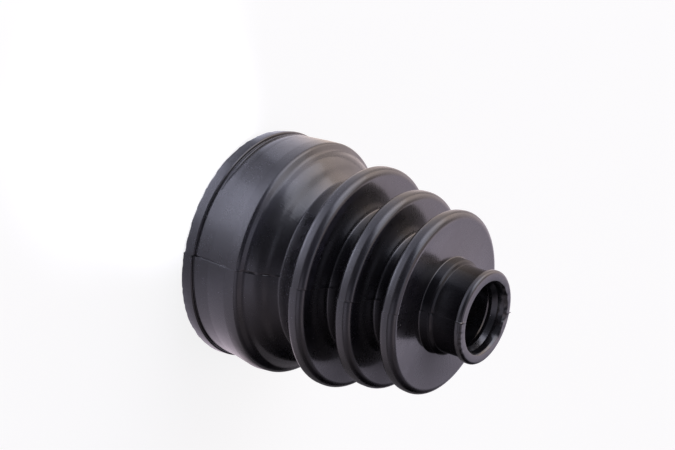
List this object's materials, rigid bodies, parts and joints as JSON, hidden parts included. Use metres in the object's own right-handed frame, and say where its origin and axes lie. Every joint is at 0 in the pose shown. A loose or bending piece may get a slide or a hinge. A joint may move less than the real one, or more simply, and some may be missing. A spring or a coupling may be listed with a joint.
{
  "type": "constant-velocity joint bellows boot",
  "caption": "Flexible rubber bellows boot that seals a drive-shaft joint: a wide clamped end, stepped folds and a narrow collar that grips the shaft.",
  "frame": {"origin": "centre of the large end's flat face, on the boot's axis, which is the middle of the bottom of its box", "axes": "+Z runs along the axis from the large end to the small end; the mould parts on the XZ plane, so the parting line lies at +X and -X"},
  "size_m": [0.0873, 0.0872, 0.1012],
  "materials": {
    "black_rubber": "moulded chloroprene, semi-gloss"
  },
  "bodies": {
    "root": {"bellows_boot": "black_rubber"}
  },
  "joints": []
}
